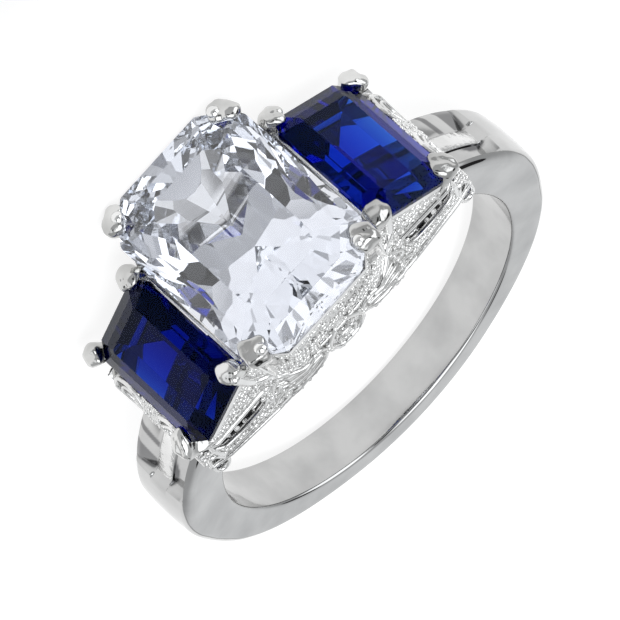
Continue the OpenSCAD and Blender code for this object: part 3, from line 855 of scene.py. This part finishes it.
def beaded(name, lines, radius, spacing, material):
    """Milgrain: beads of nearly one size, evenly spaced along lines, made by Geometry Nodes."""
    points, edges = [], []
    for line in lines:
        edges += [(len(points) + k, len(points) + k + 1) for k in range(len(line) - 1)]
        points += at_rest(line).tolist()
    mesh = bpy.data.meshes.new(name)
    mesh.from_pydata(points, edges, [])
    piece = bpy.data.objects.new(name, mesh)
    bpy.context.scene.collection.objects.link(piece)
    tree = bpy.data.node_groups.new(name, "GeometryNodeTree")
    tree.interface.new_socket("Lines", in_out="INPUT", socket_type="NodeSocketGeometry")
    size = tree.interface.new_socket("Bead radius", in_out="INPUT", socket_type="NodeSocketFloat")
    step = tree.interface.new_socket("Spacing", in_out="INPUT", socket_type="NodeSocketFloat")
    tree.interface.new_socket("Beads", in_out="OUTPUT", socket_type="NodeSocketGeometry")
    given = node(tree, "NodeGroupInput", {}).outputs
    curve = node(tree, "GeometryNodeMeshToCurve", {"Mesh": given["Lines"]})
    even = node(tree, "GeometryNodeResampleCurve", {"Curve": curve, "Length": given["Spacing"]},
                mode="LENGTH")
    play = 0.00004
    shake = node(tree, "FunctionNodeRandomValue", {0: (-play,) * 3, 1: (play,) * 3, "Seed": 3},
                 data_type="FLOAT_VECTOR")
    moved = node(tree, "GeometryNodeSetPosition", {"Geometry": even, "Offset": shake})
    bead = node(tree, "GeometryNodeMeshIcoSphere", {"Radius": given["Bead radius"], "Subdivisions": 2})
    uneven = node(tree, "FunctionNodeRandomValue", {2: 0.6, 3: 1.4, "Seed": 7}, data_type="FLOAT")
    put = node(tree, "GeometryNodeInstanceOnPoints",
               {"Points": moved, "Instance": bead, "Scale": uneven.outputs[1]})
    real = node(tree, "GeometryNodeRealizeInstances", {"Geometry": put})
    paint = node(tree, "GeometryNodeSetMaterial", {"Geometry": real, "Material": material})
    node(tree, "NodeGroupOutput", {"Beads": paint})
    maker = piece.modifiers.new("beads", "NODES")
    maker.node_group = tree
    maker[size.identifier] = radius
    maker[step.identifier] = spacing
    seen = piece.evaluated_get(bpy.context.evaluated_depsgraph_get())
    made = bpy.data.meshes.new_from_object(seen)
    piece.modifiers.clear()
    piece.data = made
    made.shade_smooth()
    return piece


for name, turn in (("south", lambda parts, room=0: parts), ("north", mirrored)):
    points, faces = joined(turn([south_sheet]))
    sheet_piece = metal_piece("gallery_" + name, points, faces, cast, 50)
    points, faces = joined(turn(wires))
    scrolls = metal_piece("scrolls_" + name, points, faces, cast, 60)
    lines = [p for p, f in turn([(line, None) for line in bead_lines], 0.19)]
    milgrain = beaded("milgrain_" + name, lines, 0.000105, 0.00021, cast)
    for piece in (sheet_piece, scrolls, milgrain):
        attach(piece, "root")

# Shade linings. A dull, near-black sheet of the same metal stands behind each basket's window and
# closes it.
# Its dark colour is painted shade, standing for the shadow inside the basket.
shade_painted = white_metal("dull platinum", 0.3, 0.45, 2400, 0.6, (0.015, 0.015, 0.016, 1),
                   (0.22, 0.22, 0.222, 1))
lining_parts = []
for s in (-1, 1):
    u = np.linspace(4.1, 7.1, 16)
    lining_parts.append(pierced_sheet(
        lambda x, share, out: wall(x, share, out - 0.47), s * u, np.linspace(0.35, 0.88, 12),
        lambda x, share: 1.0 + 0 * x, lambda x, share: 0.012 * np.cos(5 * x + 6 * share),
        lambda x, share: 0.12 + 0 * x))
points, faces = joined(lining_parts + mirrored(lining_parts))
shade_linings = metal_piece("shade_linings", points, faces, shade_painted, 40)
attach(shade_linings, "root")

# Basket ends. The outer end of each side stone's basket is a beaded column of cast metal that
# carries on the shoulder's bar, between two pierced and looped leaves.


def end_face(side):
    """The surface of a basket's end: place along the finger, share of the way down, and how far out."""
    def surface(n, share, out):
        n, share, out = np.broadcast_arrays(*(np.asarray(v, float) for v in (n, share, out)))
        x = 7.4 + 0.42 * np.minimum(1, share / 0.35) + out * 0.9
        return np.stack([side * x, n, 10.72 - 3.6 * share + out * 0.35], -1)
    return surface


def end_solid(n, share):
    """Where a basket's end has metal: everywhere but in its openings."""
    a = np.abs(n)
    body = np.minimum(np.minimum(share, 0.99 - share) * 3.6, 2.35 - 0.25 * share - a)
    for u0, v0, hu, hv in ((1.35, 0.3, 0.22, 0.07), (1.0, 0.5, 0.14, 0.06), (1.75, 0.48, 0.13, 0.06),
                           (1.45, 0.82, 0.45, 0.1)):
        body = np.minimum(body, -oval(a, share, u0, v0, hu, hv))
    return body


def end_relief(n, share):
    """How far a basket's end stands out: the column most, with a stippled ground beside it."""
    column = np.abs(n) < 0.46
    return -0.12 + 0.17 * column + 0.03 * np.cos(n * 26) * np.cos(share * 80)


end_parts, end_lines = [], []
for side in (-1, 1):
    surface = end_face(side)
    end_parts.append(pierced_sheet(surface, np.linspace(-2.3, 2.3, 78), np.linspace(0.0, 0.985, 60),
                                   end_solid, end_relief, lambda n, share: 0.45 + 0 * n))
    for s in (-1, 1):
        for wide, high, taper, line in (
                (0.12, 0.16, (1, 1), [(0.5, 0.12), (1.2, 0.05), (2.0, 0.12), (2.15, 0.32),
                                      (1.7, 0.58), (0.9, 0.66), (0.5, 0.6)]),
                (0.08, 0.12, (1, 1, 0.6), [(0.55, 0.3), (1.1, 0.18), (1.7, 0.22), (1.8, 0.36),
                                           (1.4, 0.5), (1.05, 0.44)]),
                (0.13, 0.16, (1, 1), [(0.5, 0.98), (1.3, 0.95), (2.1, 0.97)])):
            end_parts.append(wire(surface, [(s * n, v) for n, v in line], wide, high, 0.0, taper))
        for n, top in ((0.42, 0.02), (0.07, 0.0), (0.21, 0.02), (0.35, 0.0)):
            spots, _ = curve_through([(s * n, top), (s * n, 0.5), (s * n, 0.98)])
            end_lines.append(surface(spots[:, 0], spots[:, 1], 0.06))
points, faces = joined(end_parts)
ends = metal_piece("basket_ends", points, faces, stippled, 50)
end_beads = beaded("milgrain_ends", end_lines, 0.00008, 0.00017, cast)
for piece in (ends, end_beads):
    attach(piece, "root")

# Claws. Twelve claws of drawn wire, soldered to the gallery, hold the stones by their cut corners.
# Each stem is filed by hand to a rounded, dented and slightly forked tip, bent in over the crown.


def claw(stone, corner, shift, across, along, height, square, spin, groove, dish, drop):
    """One claw in its stone's own frame. corner is the middle of the cut corner, shift moves the
    tip, across and along are its half sizes over the corner and along it, height is the tip's, square
    makes its section squarer, spin turns it, groove forks the tip or ridges it where negative, dish
    hollows it, and drop is the length of the stem. The file's dents follow from the place."""
    outward = np.array([math.copysign(1, corner[0]), math.copysign(1, corner[1])]) / math.sqrt(2)
    aside = np.array([-outward[1], outward[0]])
    # Height, how far out, thickness, and how far the tip's shift is followed.
    rows = np.array([
        [-drop, -0.16, 0.42, 0.0], [-0.6 * drop, -0.08, 0.5, 0.1], [-0.3 * drop, 0.02, 0.66, 0.5],
        [-0.3, 0.08, 0.86, 0.9], [-0.05, 0.08, 0.98, 1.0], [0.14, 0.06, 1.02, 1.0],
        [0.32, 0.02, 0.98, 1.0], [0.46, -0.03, 0.88, 1.0], [0.56, -0.07, 0.7, 1.0],
        [0.63, -0.1, 0.46, 1.0], [0.66, -0.12, 0.2, 1.0]])
    t = np.linspace(0, len(rows) - 1, 36)
    fine = np.stack([np.interp(t, np.arange(len(rows)), rows[:, k]) for k in range(4)], 1)
    kernel = np.array([0.25, 0.5, 0.25])
    for k in range(1, 4):
        fine[1:-1, k] = np.convolve(fine[:, k], kernel, "valid")
    turn = np.linspace(0, 2 * math.pi, 32, endpoint=False)
    power = 2 + square
    reach = (np.abs(np.cos(turn)) ** power + np.abs(np.sin(turn)) ** power) ** (-1 / power)
    bump = 1 + 0.06 * np.sin(3 * turn + 5 * spin) + 0.045 * np.sin(5 * turn + 9 * spin)
    u0, v0 = reach * bump * np.cos(turn), reach * bump * np.sin(turn)
    u = u0 * math.cos(spin) - v0 * math.sin(spin)
    v = u0 * math.sin(spin) + v0 * math.cos(spin)
    stack = []
    for z, out, r, follow in fine:
        side = r * along * v
        away = out + r * across * u
        x = corner[0] + shift[0] * follow + outward[0] * away + aside[0] * side
        y = corner[1] + shift[1] * follow + outward[1] * away + aside[1] * side
        lift = z if z < 0 else z * height / 0.66
        strength = min(1, max(0, (z + 0.1) / 0.35))
        dip = groove * np.exp(-((side - 0.06 * u) / 0.13) ** 2) * strength
        dip = dip + dish * np.clip(1 - (r / 0.86) ** 2, 0, 1) * strength
        dent = np.sin(7 * x + 5 * y + 9 * lift) * np.sin(8 * y - 6 * x + 4 * spin)
        away = 0.024 * dent * min(1, r)
        stack.append(np.stack([x + outward[0] * away, y + outward[1] * away,
                               lift - dip + 0.8 * away], -1))
    p, f = capped(stack)
    return kept_above(stone(p), METAL_DEPTH), f


claw_parts = []
for sx, sy, shift, across, along, square, spin, groove, dish in (
        (1, 1, (0.15, -0.17), 0.5, 0.7, 0.3, 0.2, 0.09, 0.0),
        (-1, 1, (-0.07, 0.13), 0.46, 0.66, 0.5, 0.1, 0.05, 0.02),
        (-1, -1, (-0.12, 0.29), 0.52, 0.6, 2.6, 0.35, 0.0, 0.1),
        (1, -1, (0.15, 0.15), 0.56, 0.6, 0.3, 0.5, 0.08, 0.03)):
    claw_parts.append(claw(on_center, (sx * 2.9, sy * 4.15), shift, across, along, 0.62, square,
                           spin, groove, dish, 1.7))
for s, sx, sy, shift, across, along, square, spin, groove, dish in (
        (1, 1, 1, (0.42, -0.1), 0.46, 0.62, 0.2, 0.2, -0.05, 0.0),
        (1, 1, -1, (0.13, 0.27), 0.62, 0.6, 0.5, 0.2, 0.06, 0.02),
        (1, -1, 1, (-0.04, 0.38), 0.5, 0.54, 0.3, 0.1, 0.07, 0.0),
        (1, -1, -1, (-0.15, 0.0), 0.52, 0.52, 0.8, 0.9, -0.05, 0.02),
        (-1, -1, 1, (-0.4, 0.26), 0.48, 0.5, 0.3, 0.4, 0.06, 0.0),
        (-1, -1, -1, (-0.57, 0.63), 0.66, 0.42, 0.3, 0.0, 0.05, 0.0),
        (-1, 1, 1, (-0.03, 0.36), 0.48, 0.56, 0.3, 0.2, 0.08, 0.0),
        (-1, 1, -1, (-0.1, 0.2), 0.5, 0.5, 0.3, 0.3, -0.03, 0.0)):
    claw_parts.append(claw(on_side(s), (sx * 1.8, sy * 2.875), shift, across, along, 0.5, square,
                           spin, groove, dish, 1.5))
filed = white_metal("filed platinum", 0.03, 0.1, 1500, 1.0, (0.4, 0.4, 0.395, 1),
                    (0.7, 0.7, 0.69, 1))
points, faces = joined(claw_parts)
claws = metal_piece("claws", points, faces, filed, 70)
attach(claws, "root")

# Seats. A frame of cast metal under the girdle of each stone joins its claws and closes the
# top of the gallery.


SEAT_SECTION = ((0.05, -0.29), (0.03, -0.34), (0.05, -0.55), (0.1, -0.66), (0.3, -0.9),
                (0.34, -0.86))


def seat_frame(width, length, cut, stone):
    """A thin frame that follows the outline of a stone, of the section's inset and height."""
    x, y = width / 2, length / 2
    outline = [(x, -y + cut), (x, y - cut), (x - cut, y), (-x + cut, y),
               (-x, y - cut), (-x, -y + cut), (-x + cut, -y), (x - cut, -y)]
    rings = []
    for px, py in outline:
        k = np.array([px, py]) / math.hypot(px, py)
        rings.append(stone(np.array([[px - k[0] * b, py - k[1] * b, z] for b, z in SEAT_SECTION])))
    return tube(rings)


seat_parts = [seat_frame(stone=on_center, **CENTER)]
seat_parts += [seat_frame(stone=on_side(s), **SIDE) for s in (1, -1)]
points, faces = joined(seat_parts)
seats = metal_piece("seats", points, faces, cast, 30)
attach(seats, "root")
